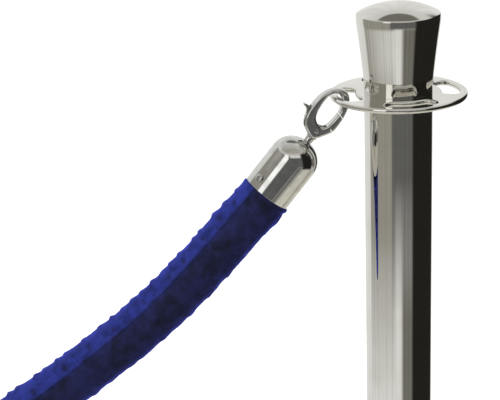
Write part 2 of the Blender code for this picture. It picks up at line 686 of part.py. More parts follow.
def build():
    """Every piece of the post and of the rope hooked into it."""
    clear_scene()
    steel = make_material("polished_steel", (0.72, 0.71, 0.68), 0.08, 1)
    chrome = make_material("chrome_plate", (0.62, 0.63, 0.63), 0.12, 1)
    zinc = make_material("zinc_plated_steel", (0.55, 0.56, 0.57), 0.35, 1)
    spring_steel = make_material("spring_steel", (0.35, 0.35, 0.36), 0.3, 1)
    iron = make_material("cast_iron", (0.06, 0.06, 0.065), 0.75, 0)
    rubber = make_material("rubber", (0.02, 0.02, 0.02), 0.85, 0)
    fibre = make_material("fibre", (0.05, 0.045, 0.04), 0.8, 0)
    wood = make_material("rope_core", (0.55, 0.42, 0.28), 0.7, 0)
    velvet = make_material("blue_velvet", (0.02, 0.025, 0.3), 0.9, 0)

    build_base(steel, iron, rubber, zinc)
    build_post(steel, zinc, fibre)
    build_ring(steel)
    build_finial(steel, zinc)

    rim_axis = add_frame("rope_swing_axis", RIM_PIVOT, math.pi / 2 - ROPE_DROP)
    near = add_frame("near_swivel_axis", -RIM_SEAT, parent=rim_axis)
    build_hook("near", near, chrome, zinc, spring_steel)
    build_cap("near", near, chrome, zinc, wood)

    far_way = Vector((-math.cos(ROPE_FAR_DROP), 0, -math.sin(ROPE_FAR_DROP)))
    far_neck = ROPE_FAR_END + CAP_END * far_way
    far = add_frame("far_swivel_axis", far_neck, -math.pi / 2 - ROPE_FAR_DROP)
    build_hook("far", far, chrome, zinc, spring_steel)
    build_cap("far", far, chrome, zinc, wood)

    bpy.context.view_layer.update()
    near_edge = near.matrix_world @ Vector((0, 0, -CAP_END))
    build_rope(velvet, near_edge, ROPE_FAR_END)


build()
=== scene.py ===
"""Looks of a rope barrier post: a polished steel post with a slotted ring, a flared finial and a
round base, and a blue velvet rope that is hooked into the ring.

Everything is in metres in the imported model's frame: +Z up, origin on the floor under the middle
of the post, rope leaving towards -X.
"""

import json
import math
import random

import bmesh
import bpy
from mathutils import Matrix, Quaternion, Vector, noise


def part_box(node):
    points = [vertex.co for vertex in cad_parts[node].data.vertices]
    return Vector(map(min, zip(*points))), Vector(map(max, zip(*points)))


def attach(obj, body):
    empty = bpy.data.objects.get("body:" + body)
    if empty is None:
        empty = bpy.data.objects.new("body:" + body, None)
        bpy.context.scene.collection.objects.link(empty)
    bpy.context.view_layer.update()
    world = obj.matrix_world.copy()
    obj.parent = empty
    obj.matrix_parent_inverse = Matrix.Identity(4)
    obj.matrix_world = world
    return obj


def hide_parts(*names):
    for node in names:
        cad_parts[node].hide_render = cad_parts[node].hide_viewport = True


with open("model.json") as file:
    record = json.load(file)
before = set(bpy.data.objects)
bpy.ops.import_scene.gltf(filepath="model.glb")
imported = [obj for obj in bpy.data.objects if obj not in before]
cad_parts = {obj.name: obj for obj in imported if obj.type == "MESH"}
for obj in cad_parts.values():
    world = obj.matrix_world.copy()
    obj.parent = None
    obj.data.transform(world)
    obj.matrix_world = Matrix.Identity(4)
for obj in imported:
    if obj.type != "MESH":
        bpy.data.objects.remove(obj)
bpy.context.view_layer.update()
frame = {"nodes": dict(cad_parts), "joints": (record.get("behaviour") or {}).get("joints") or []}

MM = 0.001
FRONT = Vector((0, -1, 0))

# Camera
CAMERA_PLACE = Vector((-0.2531, -1.0151, 1.2160))
CAMERA_HEADING = 7.821          # degrees to the right of +Y
CAMERA_DIP = 19.279             # degrees below the horizon
CAMERA_ROLL = -2.124            # degrees about the line of sight
CAMERA_LENS = 104.74
SENSOR = 36.0
CAMERA_SIDE = 14.0              # degrees that the camera stands to the left of the post's front

# Sizes shared with the CAD
TUBE_RADIUS = 25.4 * MM
TUBE_WALL = 1.5 * MM
CAP_RADIUS = 18.7 * MM
CAP_END = 51.8 * MM             # open end of a cap, measured from the hook's neck
CAP_TOP = 2 * MM
CAP_DOME = 17 * MM
CAP_WALL = 1.2 * MM
CAP_BORE = 3.1 * MM
HOOK_WIDTH = 9 * MM
LEVER_SLOT = 5.4 * MM
ARM_WIDTH = 3 * MM
ARM_OFFSET = -0.9 * MM
TAB_WIDTH = 4 * MM
SHANK_RADIUS = 2.7 * MM
PIN_RADIUS = 1.9 * MM
PIN_PLACE = Vector((-0.5 * MM, 0, 8.6 * MM))
SPRING_RADIUS = 2.35 * MM
SPRING_WIRE = 0.2 * MM
SPRING_TURNS = 2
SPRING_OFFSET = 1.65 * MM
SCREW_PLACE = 43.6 * MM
SCREW_ANGLE = math.radians(54)
SCREW_RADIUS = 1.6 * MM
SCREW_LENGTH = 11 * MM
GAP = 0.3 * MM

# Finer than the CAD's sizes, or only in the looks
GATE_END_GAP = 0.4              # millimetres, between the gate's ends and the hook's loop
SCREW_HEAD_RADIUS = 3.1 * MM
LOOP_EDGE = 1.8 * MM            # rounding of the hook's loop
CONTACT = 0.03 * MM             # left between pieces that look as if they touch

# Rope: places on its middle line between its two straight ends, as x and z
ROPE_RADIUS = 19.3 * MM
ROPE_STRAIGHT = 12 * MM
ROPE_ROUTE = [
    (-0.120, 0.8415), (-0.136, 0.8245), (-0.153, 0.807), (-0.171, 0.7895), (-0.190, 0.773),
    (-0.209, 0.7575), (-0.229, 0.743), (-0.249, 0.729), (-0.270, 0.715), (-0.285, 0.7055),
]

# Outlines in the hook's frame: x and z in millimetres, True at a sharp corner
LOOP_OUTLINE = [
    (0, 2.0, False), (-5.2, 3.4, False), (-9.4, 6.2, False), (-12.9, 10.6, False),
    (-14.6, 16.0, False), (-15.1, 22.0, False), (-14.8, 28.0, False), (-13.3, 34.0, False),
    (-10.6, 39.2, False), (-7.0, 42.9, False), (-2.6, 44.6, False), (1.8, 43.9, False),
    (5.2, 40.8, False), (8.0, 35.5, False), (9.6, 29.4, False), (10.2, 24.5, False),
    (10.4, 19.5, False), (10.0, 15.0, False), (8.6, 11.9, False), (6.2, 8.2, False),
    (3.4, 4.2, False),
]
WINDOW_OUTLINE = [
    (4.6, 31.0, False), (2.9, 33.8, False), (0.6, 37.6, False), (-4.2, 39.9, False),
    (-7.4, 38.6, False), (-9.3, 35.0, False), (-9.8, 30.0, False), (-9.4, 24.0, False),
    (-8.4, 19.0, False), (-6.2, 15.2, False), (-3.0, 13.2, False), (0.6, 12.8, False),
    (3.0, 14.4, False), (4.4, 18.2, False), (5.0, 23.0, False), (5.1, 27.6, False),
]
GATE_STRETCH = [(2, 16.4), (13, 13.7), (13, 26.0), (2, 29.4)]
LEVER_SLOT_OUTLINE = [
    (14, 4.9, True), (14, 20, True), (-5, 20, True), (-7.5, 15.5, True), (-11.5, 15.5, True),
    (-12.6, 21.2, True), (-20, 21.2, True), (-20, 0, True), (-5.6, 0, True), (-3.6, 4.9, True),
]
LEVER_ARM_OUTLINE = [
    (8.6, 19.0, True), (6.6, 19.0, True), (3.4, 12.6, False), (-0.5, 12.0, False),
    (-5.5, 12.4, False), (-10.5, 13.4, False), (-14.6, 14.8, True), (-14.0, 12.0, False),
    (-12.0, 7.6, False), (-9.0, 5.4, False), (-6.6, 5.7, False), (-3.8, 7.1, False),
    (-0.5, 5.2, False), (2.7, 6.4, False), (6.2, 10.8, False),
]
THUMB_TAB_OUTLINE = [
    (-11.5, 11.5, True), (-14.2, 13.3, False), (-16.0, 16.2, False), (-18.4, 17.8, False),
    (-20.6, 18.5, False), (-20.6, 19.3, False), (-18.2, 20.0, False), (-14.0, 20.4, True),
    (-13.4, 17.4, False), (-12.6, 13.4, True),
]


# ---------------------------------------------------------------- camera

def build_camera():
    """The camera at the reference view."""
    heading = math.radians(CAMERA_HEADING)
    dip = math.radians(CAMERA_DIP)
    ahead = Vector((math.sin(heading) * math.cos(dip), math.cos(heading) * math.cos(dip),
                    -math.sin(dip)))
    data = bpy.data.cameras.new("camera")
    data.lens = CAMERA_LENS
    data.sensor_width = SENSOR
    data.clip_start = 0.05
    data.clip_end = 60
    camera = bpy.data.objects.new("camera", data)
    bpy.context.scene.collection.objects.link(camera)
    roll = Quaternion((0, 0, 1), math.radians(CAMERA_ROLL))
    camera.location = CAMERA_PLACE
    camera.rotation_mode = "QUATERNION"
    camera.rotation_quaternion = ahead.to_track_quat("-Z", "Y") @ roll
    bpy.context.scene.camera = camera


# ---------------------------------------------------------------- mesh helpers

def add_piece(name, mesh, material, place=None, smooth=40):
    """Put a mesh in the scene with its material, smooth but at edges sharper than given."""
    piece = bpy.data.objects.new(name, mesh)
    bpy.context.scene.collection.objects.link(piece)
    if material:
        mesh.materials.append(material)
    if place:
        piece.matrix_world = place
    mesh.shade_smooth()
    if smooth:
        mesh.set_sharp_from_angle(angle=math.radians(smooth))
    return piece


def even_normals(piece):
    """Keep large faces flat in shading where small rounded ones meet them."""
    weighted = piece.modifiers.new("even_normals", "WEIGHTED_NORMAL")
    weighted.keep_sharp = True
    weighted.weight = 50
    return piece


def stand_for(piece, node, body):
    """Let a piece replace a CAD node and ride on its body."""
    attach(piece, body)
    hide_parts(node)
    return piece


def rounded(corners, closed=True, steps=6):
    """A profile through (radius, height, rounding) corners, each rounded by an arc."""
    points = []
    for index, (radius, height, rounding) in enumerate(corners):
        here = Vector((radius, height))
        at_end = not closed and index in (0, len(corners) - 1)
        if rounding <= 0 or at_end:
            points.append((radius, height))
            continue
        before = Vector(corners[index - 1][:2])
        after = Vector(corners[(index + 1) % len(corners)][:2])
        into = (before - here).normalized()
        onward = (after - here).normalized()
        half = into.angle(onward) / 2
        reach = rounding / math.tan(half)
        centre = here + (into + onward).normalized() * (rounding / math.sin(half))
        start = here + into * reach - centre
        end = here + onward * reach - centre
        first = math.atan2(start.y, start.x)
        sweep = math.remainder(math.atan2(end.y, end.x) - first, 2 * math.pi)
        for step in range(steps + 1):
            angle = first + sweep * step / steps
            points.append((centre.x + rounding * math.cos(angle),
                           centre.y + rounding * math.sin(angle)))
    return points


def lathe(name, profile, material, place=None, closed=True, sides=128, smooth=40):
    """Turn (radius, height) points, listed down the outer side, about Z."""
    shape = bmesh.new()
    rings = []
    for radius, height in profile:
        if radius < 1e-7:
            rings.append([shape.verts.new((0, 0, height))])
            continue
        turns = [2 * math.pi * index / sides for index in range(sides)]
        rings.append([shape.verts.new((radius * math.cos(turn), radius * math.sin(turn), height))
                      for turn in turns])
    pairs = list(zip(rings, rings[1:]))
    if closed:
        pairs.append((rings[-1], rings[0]))
    for upper, lower in pairs:
        for index in range(sides):
            ahead = index + 1
            corners = [upper[index % len(upper)], lower[index % len(lower)],
                       lower[ahead % sides % len(lower)], upper[ahead % sides % len(upper)]]
            shape.faces.new(list(dict.fromkeys(corners)))
    mesh = bpy.data.meshes.new(name)
    shape.to_mesh(mesh)
    shape.free()
    return even_normals(add_piece(name, mesh, material, place, smooth))


def flat_curve(name, thickness, edge):
    """An empty flat curve whose outlines fill to a plate with rounded edges."""
    curve = bpy.data.curves.new(name, "CURVE")
    curve.dimensions = "2D"
    curve.fill_mode = "BOTH"
    curve.extrude = thickness / 2 - edge
    curve.bevel_depth = edge
    curve.bevel_resolution = 6 if edge > MM else 2
    curve.offset = -edge
    return curve


def add_poly(curve, points):
    """Add a closed outline of straight steps to a flat curve."""
    spline = curve.splines.new("POLY")
    spline.points.add(len(points) - 1)
    for point, (x, y) in zip(spline.points, points):
        point.co = (x, y, 0, 1)
    spline.use_cyclic_u = True


def add_outline(curve, outline, resolution):
    """Add a closed outline in millimetres, rounded but at its sharp corners."""
    spline = curve.splines.new("BEZIER")
    spline.bezier_points.add(len(outline) - 1)
    spline.resolution_u = resolution
    spline.use_cyclic_u = True
    for point, (x, y, sharp) in zip(spline.bezier_points, outline):
        point.co = (x * MM, y * MM, 0)
        handle = "VECTOR" if sharp else "AUTO"
        point.handle_left_type = handle
        point.handle_right_type = handle


def filled(curve, name, material, place):
    """Turn a curve into a welded mesh piece."""
    source = bpy.data.objects.new(name + "_outline", curve)
    bpy.context.scene.collection.objects.link(source)
    bpy.context.view_layer.update()
    evaluated = source.evaluated_get(bpy.context.evaluated_depsgraph_get())
    mesh = bpy.data.meshes.new_from_object(evaluated)
    bpy.data.objects.remove(source, do_unlink=True)
    mesh.materials.clear()
    shape = bmesh.new()
    shape.from_mesh(mesh)
    bmesh.ops.remove_doubles(shape, verts=shape.verts, dist=0.000003)
    bmesh.ops.recalc_face_normals(shape, faces=shape.faces)
    shape.to_mesh(mesh)
    shape.free()
    return add_piece(name, mesh, material, place)


def plate(name, outlines, width, edge, material, place, offset=0.0, resolution=8):
    """A plate drawn in a hook's XZ plane, as wide as given along Y."""
    curve = flat_curve(name, width, edge)
    for outline in outlines:
        add_outline(curve, outline, resolution)
    upright = place @ Matrix.Translation((0, offset, 0)) @ Matrix.Rotation(math.pi / 2, 4, "X")
    return filled(curve, name, material, upright)


def combine(piece, tool, operation):
    """Cut a piece with a tool, or join the tool to it, and remove the tool."""
    modifier = piece.modifiers.new("combine", "BOOLEAN")
    modifier.operation = operation
    modifier.solver = "EXACT"
    modifier.object = tool
    bpy.context.view_layer.update()
    evaluated = piece.evaluated_get(bpy.context.evaluated_depsgraph_get())
    mesh = bpy.data.meshes.new_from_object(evaluated)
    piece.modifiers.clear()
    piece.data = mesh
    bpy.data.objects.remove(tool, do_unlink=True)
    mesh.shade_smooth()
    mesh.set_sharp_from_angle(angle=math.radians(32))
    return piece


def wire(name, points, radius, material, place, sides=10):
    """A round wire along points, with closed ends."""
    curve = bpy.data.curves.new(name, "CURVE")
    curve.dimensions = "3D"
    curve.bevel_depth = radius
    curve.bevel_resolution = sides // 2 - 2
    curve.use_fill_caps = True
    spline = curve.splines.new("POLY")
    spline.points.add(len(points) - 1)
    for point, spot in zip(spline.points, points):
        point.co = (*spot, 1)
    return filled(curve, name, material, place)


# ---------------------------------------------------------------- materials

class Finish:
    """A Principled material with a short way to add and link nodes."""

    def __init__(self, name, colour, roughness, metallic=0.0):
        self.material = bpy.data.materials.new(name)
        self.material.use_nodes = True
        self.tree = self.material.node_tree
        self.shader = self.tree.nodes["Principled BSDF"]
        self.shader.inputs["Base Color"].default_value = (*colour, 1)
        self.shader.inputs["Roughness"].default_value = roughness
        self.shader.inputs["Metallic"].default_value = metallic
        self.place = self.tree.nodes.new("ShaderNodeTexCoord").outputs["Object"]

    def node(self, kind, **values):
        """Add a node and set its properties, or its inputs by name with _ for a space."""
        made = self.tree.nodes.new(kind)
        for key, value in values.items():
            if hasattr(made, key):
                setattr(made, key, value)
            else:
                made.inputs[key.replace("_", " ")].default_value = value
        return made

    def link(self, output, target):
        """Join an output to an input."""
        self.tree.links.new(output, target)

    def noise(self, scale, detail=3.0, stretch=(1, 1, 1), roughness=0.55):
        """Fractal noise in object space, stretched along an axis."""
        mapping = self.node("ShaderNodeMapping", Scale=stretch)
        self.link(self.place, mapping.inputs["Vector"])
        texture = self.node("ShaderNodeTexNoise", Scale=scale, Detail=detail,
                            Roughness=roughness)
        self.link(mapping.outputs[0], texture.inputs["Vector"])
        return texture.outputs["Fac"]

    def spread(self, value, low, high, to_low=0.0, to_high=1.0):
        """Map a value from one range to another."""
        ranged = self.node("ShaderNodeMapRange")
        self.link(value, ranged.inputs["Value"])
        for key, number in (("From Min", low), ("From Max", high), ("To Min", to_low),
                            ("To Max", to_high)):
            ranged.inputs[key].default_value = number
        return ranged.outputs["Result"]

    def mix(self, factor, first, second, blend="MIX"):
        """Mix two colours, each given as a colour or an output."""
        mixer = self.node("ShaderNodeMix", data_type="RGBA", blend_type=blend)
        if isinstance(factor, float):
            mixer.inputs[0].default_value = factor
        else:
            self.link(factor, mixer.inputs[0])
        for socket, value in ((mixer.inputs[6], first), (mixer.inputs[7], second)):
            if isinstance(value, tuple):
                socket.default_value = (*value, 1)
            else:
                self.link(value, socket)
        return mixer.outputs[2]

    def math(self, operation, *values):
        """A math node on numbers and outputs."""
        made = self.node("ShaderNodeMath", operation=operation)
        for socket, value in zip(made.inputs, values):
            if isinstance(value, float):
                socket.default_value = value
            else:
                self.link(value, socket)
        return made.outputs[0]

    def bump(self, height, distance, strength=1.0, under=None):
        """Bump from a height, over another bump if given."""
        made = self.node("ShaderNodeBump", Strength=strength, Distance=distance)
        self.link(height, made.inputs["Height"])
        if under:
            self.link(under, made.inputs["Normal"])
        return made.outputs["Normal"]


def polished_metal(name, colour, smudge, low, high, waviness):
    """Mirror polish with handling smudges, hairline scratches and a slight waviness."""
    finish = Finish(name, colour, low, 1.0)
    marks = finish.spread(finish.noise(38, 5), 0.42, 0.72)
    hairs = finish.spread(finish.noise(260, 2, (1, 1, 0.03), 0.7), 0.55, 0.75)
    finish.link(finish.mix(marks, colour, smudge), finish.shader.inputs["Base Color"])
    wear = finish.math("MAXIMUM", marks, hairs)
    finish.link(finish.spread(wear, 0, 1, low, high), finish.shader.inputs["Roughness"])
    soft = finish.bump(finish.noise(30, 1, (1, 1, 0.25)), waviness)
    fine = finish.bump(finish.noise(420, 2, (1, 1, 0.04), 0.6), 0.000002, 1.0, soft)
    finish.link(fine, finish.shader.inputs["Normal"])
    return finish.material


def plated_metal(name, colour, low, high, grain):
    """Bright plating over a casting or a drawn part, with a fine orange peel."""
    finish = Finish(name, colour, low, 1.0)
    patches = finish.spread(finish.noise(160, 4), 0.4, 0.7)
    dull = tuple(part * 0.82 for part in colour)
    finish.link(finish.mix(patches, colour, dull), finish.shader.inputs["Base Color"])
    finish.link(finish.spread(patches, 0, 1, low, high), finish.shader.inputs["Roughness"])
    finish.link(finish.bump(finish.noise(520, 3), grain), finish.shader.inputs["Normal"])
    return finish.material


def rough_coat(name, dark, light, scale, roughness, depth):
    """A dull two-tone surface with a grain: cast iron, rubber or fibre."""
    finish = Finish(name, dark, roughness)
    grain = finish.noise(scale, 6, roughness=0.65)
    tone = finish.spread(grain, 0.35, 0.7)
    finish.link(finish.mix(tone, dark, light), finish.shader.inputs["Base Color"])
    finish.link(finish.spread(tone, 0, 1, roughness, roughness - 0.15),
                finish.shader.inputs["Roughness"])
    finish.link(finish.bump(grain, depth), finish.shader.inputs["Normal"])
    return finish.material


def turned_wood(name):
    """Pale wood with rings stretched along the rope."""
    finish = Finish(name, (0.55, 0.42, 0.28), 0.65)
    rings = finish.node("ShaderNodeTexWave", wave_type="RINGS", Scale=160.0, Distortion=2.5,
                        Detail=2.0)
    finish.link(finish.place, rings.inputs["Vector"])
    finish.link(finish.mix(rings.outputs["Fac"], (0.62, 0.48, 0.32), (0.40, 0.27, 0.16)),
                finish.shader.inputs["Base Color"])
    return finish.material


def crushed_velvet(name):
    """Royal blue mottled velvet, painted lit above the seam and painted shaded below it."""
    finish = Finish(name, (0.01, 0.012, 0.14), 0.85)
    shader = finish.shader
    shader.inputs["Sheen Weight"].default_value = 0.75
    shader.inputs["Sheen Roughness"].default_value = 0.34
    shader.inputs["Sheen Tint"].default_value = (0.08, 0.11, 1.0, 1)
    shader.inputs["Specular IOR Level"].default_value = 0.06
    painted_lit_band = finish.node("ShaderNodeAttribute", attribute_name="painted_lit_band").outputs["Fac"]
    crush = finish.noise(120, 5, roughness=0.6)
    cloud = finish.noise(34, 3)
    pile = finish.noise(1500, 2, roughness=0.7)
    # Painted light: lower is the velvet's colour in painted shade and upper the same velvet
    # painted lit, mixed by the lit band.
    lower = finish.mix(finish.spread(crush, 0.40, 0.66), (0.005, 0.006, 0.014),
                       (0.009, 0.010, 0.040))
    lower = finish.mix(finish.spread(cloud, 0.45, 0.70, 0.0, 0.55), lower,
                       (0.011, 0.013, 0.060))
    upper = finish.mix(finish.spread(crush, 0.38, 0.62), (0.007, 0.010, 0.062),
                       (0.012, 0.018, 0.120))
    colour = finish.mix(painted_lit_band, lower, upper)
    grain = finish.spread(pile, 0.3, 0.7, 0.72, 1.22)
    shaded = finish.node("ShaderNodeVectorMath", operation="SCALE")
    finish.link(colour, shaded.inputs[0])
    finish.link(grain, shaded.inputs["Scale"])
    finish.link(shaded.outputs[0], shader.inputs["Base Color"])
    soft = finish.bump(crush, 0.0011)
    finish.link(finish.bump(pile, 0.00022, 1.0, soft), shader.inputs["Normal"])
    return finish.material


# ---------------------------------------------------------------- rope

def hook_place(joint_name):
    """A hook's frame: the origin at its neck and Z along the swivel axis to the nose."""
    joint = next(j for j in frame["joints"] if j["name"] == joint_name)
    axis = Vector(joint["axis"])
    return (Matrix.Translation(joint["pos_m"])
            @ Matrix.Rotation(math.atan2(axis.x, axis.z), 4, "Y"))


def rope_line(near, far):
    """The rope's middle line between the open ends of its caps, as closely spaced points."""
    start = near @ Vector((0, 0, -CAP_END - GAP))
    end = far @ Vector((0, 0, -CAP_END - GAP))
    inside = [near @ Vector((0, 0, -CAP_END - GAP - ROPE_STRAIGHT))]
    inside += [Vector((x, 0, z)) for x, z in ROPE_ROUTE]
    inside += [far @ Vector((0, 0, -CAP_END - GAP - ROPE_STRAIGHT)), end]
    points = [start, *inside]
    ends = [2 * points[0] - points[1], *points, 2 * points[-1] - points[-2]]
    fine = []
    for before, here, ahead, after in zip(ends, ends[1:], ends[2:], ends[3:]):
        for index in range(40):
            t = index / 40
            fine.append(0.5 * (2 * here + (ahead - before) * t
                               + (2 * before - 5 * here + 4 * ahead - after) * t ** 2
                               + (3 * here - before - 3 * ahead + after) * t ** 3))
    return fine + [points[-1]]


def spaced(line, step):
    """Points on a line at even steps close to the one given."""
    lengths = [0.0]
    for here, ahead in zip(line, line[1:]):
        lengths.append(lengths[-1] + (ahead - here).length)
    count = round(lengths[-1] / step)
    points = []
    index = 0
    for number in range(count + 1):
        target = lengths[-1] * number / count
        while index < len(line) - 2 and lengths[index + 1] < target:
            index += 1
        share = (target - lengths[index]) / (lengths[index + 1] - lengths[index])
        points.append(line[index].lerp(line[index + 1], share))
    return points, lengths[-1]


BACK_SEAM_ANGLE = math.radians(-15)
PUCKER_SEED = 11


def seam_angle(share):
    """The front seam's angle from the rope's top, which creeps down along the rope."""
    return math.radians(41 + 14 * share)


def make_puckers(length):
    """Places, heights, widths and slants of the gathers along the two seams."""
    draw = random.Random(PUCKER_SEED)
    puckers = []
    place = 14 * MM
    while place < length - 8 * MM:
        puckers.append((place, BACK_SEAM_ANGLE + draw.uniform(-0.15, 0.15),
                        draw.uniform(0.7, 1.4) * MM, draw.uniform(1.7, 2.8) * MM,
                        draw.uniform(6, 9) * MM, draw.uniform(-0.2, 0.35)))
        place += draw.uniform(7, 18) * MM
    place = 20 * MM
    while place < length - 8 * MM:
        puckers.append((place, seam_angle(place / length) - 0.30,
                        draw.uniform(-1.2, -0.6) * MM, draw.uniform(1.4, 2.4) * MM,
                        draw.uniform(2.5, 4) * MM, draw.uniform(-0.5, 0.5)))
        place += draw.uniform(14, 34) * MM
    place = 12 * MM
    while place < length - 8 * MM:
        puckers.append((place, math.radians(draw.uniform(150, 205)),
                        draw.uniform(0.4, 1.0) * MM, draw.uniform(2.5, 4.5) * MM,
                        draw.uniform(8, 14) * MM, draw.uniform(-0.4, 0.4)))
        place += draw.uniform(9, 22) * MM
    return puckers


def hem_height(edge, around):
    """How far the turned-in hem stands out, at a distance from the rope's end."""
    under = (1 - math.cos(around)) / 2
    rise = 1 / (1 + math.exp((edge - 3.3 * MM) / (0.25 * MM)))
    groove = math.exp(-((edge - 4.6 * MM) / (0.8 * MM)) ** 2)
    return (0.1 + 0.8 * under) * MM * rise - (0.1 + 0.3 * under) * MM * groove


def velvet_radius(along, around, length, puckers):
    """The velvet's radius at a distance along the rope and an angle round it."""
    edge = min(along, length - along)
    lip = 1.2 * MM
    radius = ROPE_RADIUS + hem_height(edge, around)
    if edge < lip:
        radius -= 1.2 * MM * (1 - math.sqrt(max(0.0, 1 - (1 - edge / lip) ** 2)))
    across = math.remainder(around - seam_angle(along / length), 2 * math.pi) * ROPE_RADIUS
    radius += 0.45 * MM * math.exp(-(across / (1.1 * MM)) ** 2)
    radius -= 0.55 * MM * math.exp(-((across - 1.7 * MM) / (1.0 * MM)) ** 2)
    ease = min(1.0, edge / (8 * MM))
    for place, angle, height, width, reach, slant in puckers:
        aside = math.remainder(around - angle, 2 * math.pi) * ROPE_RADIUS
        if abs(aside) > 3 * reach:
            continue
        ahead = along - place - slant * aside
        width *= 1.5 if ahead < 0 else 0.6
        if abs(ahead) < 3 * width:
            radius += ease * height * math.exp(-(ahead / width) ** 2 - (aside / reach) ** 2)
    spot = Vector((along, math.cos(around) * ROPE_RADIUS, math.sin(around) * ROPE_RADIUS))
    radius += ease * 0.45 * MM * noise.noise(spot * 75)
    radius += ease * 0.28 * MM * noise.noise(spot * 190 + Vector((5, 1, 3)))
    radius += 0.09 * MM * noise.noise(spot * 620)
    return radius


def painted_lit_band_at(along, around, length, puckers):
    """Painted light: 1 above the seam, and 0 as painted shade below it and in dents."""
    across = math.remainder(around - seam_angle(along / length), 2 * math.pi) * ROPE_RADIUS
    spot = Vector((along, math.cos(around) * ROPE_RADIUS, math.sin(around) * ROPE_RADIUS))
    ragged = 1.2 * MM * noise.noise(spot * 160)
    below = 1 / (1 + math.exp(-(across + ragged) / (0.7 * MM)))
    # Painted shade also falls partly on the back, far round from the seam.
    behind = 1 / (1 + math.exp((across + 62 * MM + 6 * ragged) / (4 * MM)))
    # Painted shade in the dents of the gathers along the front seam.
    painted_dent_shade = 0.0
    for place, angle, height, width, reach, _ in puckers:
        aside = math.remainder(around - angle, 2 * math.pi) * ROPE_RADIUS
        if height < 0 and abs(aside) < 2 * reach and abs(along - place) < 4 * width:
            painted_dent_shade = max(painted_dent_shade, 0.9 * math.exp(-((along - place) / width) ** 2
                                            - (aside / reach) ** 2))
    return 1 - max(below, behind, painted_dent_shade)


def build_velvet(near, far, material):
    """The velvet cover as a fine tube with its seams, gathers and crushed pile."""
    centres, length = spaced(rope_line(near, far), 0.9 * MM)
    sides = 168
    puckers = make_puckers(length)
    step = length / (len(centres) - 1)
    points = []
    # Painted light and shade for each point: 1 where the velvet is painted lit, 0 where painted
    # shaded.
    painted_lit_band = []
    for index, centre in enumerate(centres):
        ahead = centres[min(index + 1, len(centres) - 1)] - centres[max(index - 1, 0)]
        top = ahead.cross(FRONT).normalized()
        if top.z < 0:
            top.negate()
        for side in range(sides):
            around = 2 * math.pi * side / sides
            radius = velvet_radius(index * step, around, length, puckers)
            points.append(centre + radius * (math.cos(around) * top + math.sin(around) * FRONT))
            painted_lit_band.append(painted_lit_band_at(index * step, around, length, puckers))
    faces = []
    for ring in range(len(centres) - 1):
        for side in range(sides):
            ahead = (side + 1) % sides
            faces.append((ring * sides + side, ring * sides + ahead,
                          (ring + 1) * sides + ahead, (ring + 1) * sides + side))
    last = (len(centres) - 1) * sides
    faces.append(tuple(reversed(range(sides))))
    faces.append(tuple(last + side for side in range(sides)))
    mesh = bpy.data.meshes.new("velvet_rope")
    mesh.from_pydata(points, [], faces)
    shape = bmesh.new()
    shape.from_mesh(mesh)
    bmesh.ops.recalc_face_normals(shape, faces=shape.faces)
    shape.to_mesh(mesh)
    shape.free()
    # The painted light and shade is stored on the points for the velvet's colour.
    layer = mesh.attributes.new("painted_lit_band", "FLOAT", "POINT")
    layer.data.foreach_set("value", painted_lit_band)
    rope = add_piece("velvet_rope", mesh, material, smooth=60)
    stand_for(rope, "rope", "rope_line")
    return rope, length


# ---------------------------------------------------------------- caps and hooks

def build_cap(side, place, chrome, zinc):
    """A cap with a rolled rim, and the screw that holds it to the rope."""
    crown = math.acos(CAP_BORE / CAP_RADIUS)
    outer = []
    steps = 24
    for index in range(steps + 1):
        angle = crown * (1 - index / steps)
        outer.append((CAP_RADIUS * math.cos(angle), -CAP_TOP - CAP_DOME * (1 - math.sin(angle))))
    mouth = -CAP_END
    outer += rounded([(CAP_RADIUS, mouth + 5 * MM, 0), (CAP_RADIUS, mouth, 0.5 * MM),
                      (CAP_RADIUS - CAP_WALL, mouth, 0.5 * MM),
                      (CAP_RADIUS - CAP_WALL, mouth + 5 * MM, 0)], closed=False, steps=4)
    inner = []
    for index in range(steps + 1):
        angle = crown * index / steps
        inner.append(((CAP_RADIUS - CAP_WALL) * math.cos(angle),
                      -CAP_TOP - CAP_WALL - (CAP_DOME - CAP_WALL) * (1 - math.sin(angle))))
    cap = lathe(side + "_cap", outer + inner, chrome, place)
    stand_for(cap, side + "_rope_cap", "rope_line")
    screw = build_cap_screw(side, place, zinc)
    return [cap, screw]


def build_cap_screw(side, place, material):
    """A pan-head screw with a cross recess."""
    outward = Vector((-math.sin(SCREW_ANGLE), -math.cos(SCREW_ANGLE), 0))
    spot = (place @ Matrix.Translation((0, 0, -SCREW_PLACE))
            @ outward.to_track_quat("Z", "Y").to_matrix().to_4x4())
    seat = CAP_RADIUS + GAP
    tip = seat - SCREW_LENGTH
    head = rounded([(0, seat + 1.7 * MM, 0), (1.8 * MM, seat + 1.6 * MM, 2.5 * MM),
                    (SCREW_HEAD_RADIUS, seat + 0.9 * MM, 0.8 * MM),
                    (SCREW_HEAD_RADIUS, seat, 0.12 * MM), (SCREW_RADIUS, seat, 0.1 * MM),
                    (SCREW_RADIUS, tip + 2 * MM, 0.1 * MM), (0, tip, 0)], closed=False)
    screw = lathe(side + "_screw", head, material, spot, closed=False, sides=48)
    for turn in (0, math.pi / 2):
        blade = bmesh.new()
        bmesh.ops.create_cube(blade, size=1)
        bmesh.ops.scale(blade, verts=blade.verts, vec=(3.4 * MM, 0.75 * MM, 2.2 * MM))
        bmesh.ops.rotate(blade, verts=blade.verts, matrix=Matrix.Rotation(turn, 3, "Z"))
        bmesh.ops.translate(blade, verts=blade.verts, vec=(0, 0, seat + 1.8 * MM))
        mesh = bpy.data.meshes.new("blade")
        blade.to_mesh(mesh)
        blade.free()
        combine(screw, add_piece("blade", mesh, None, spot), "DIFFERENCE")
    even_normals(screw)
    return stand_for(screw, side + "_cap_screw", "rope_line")


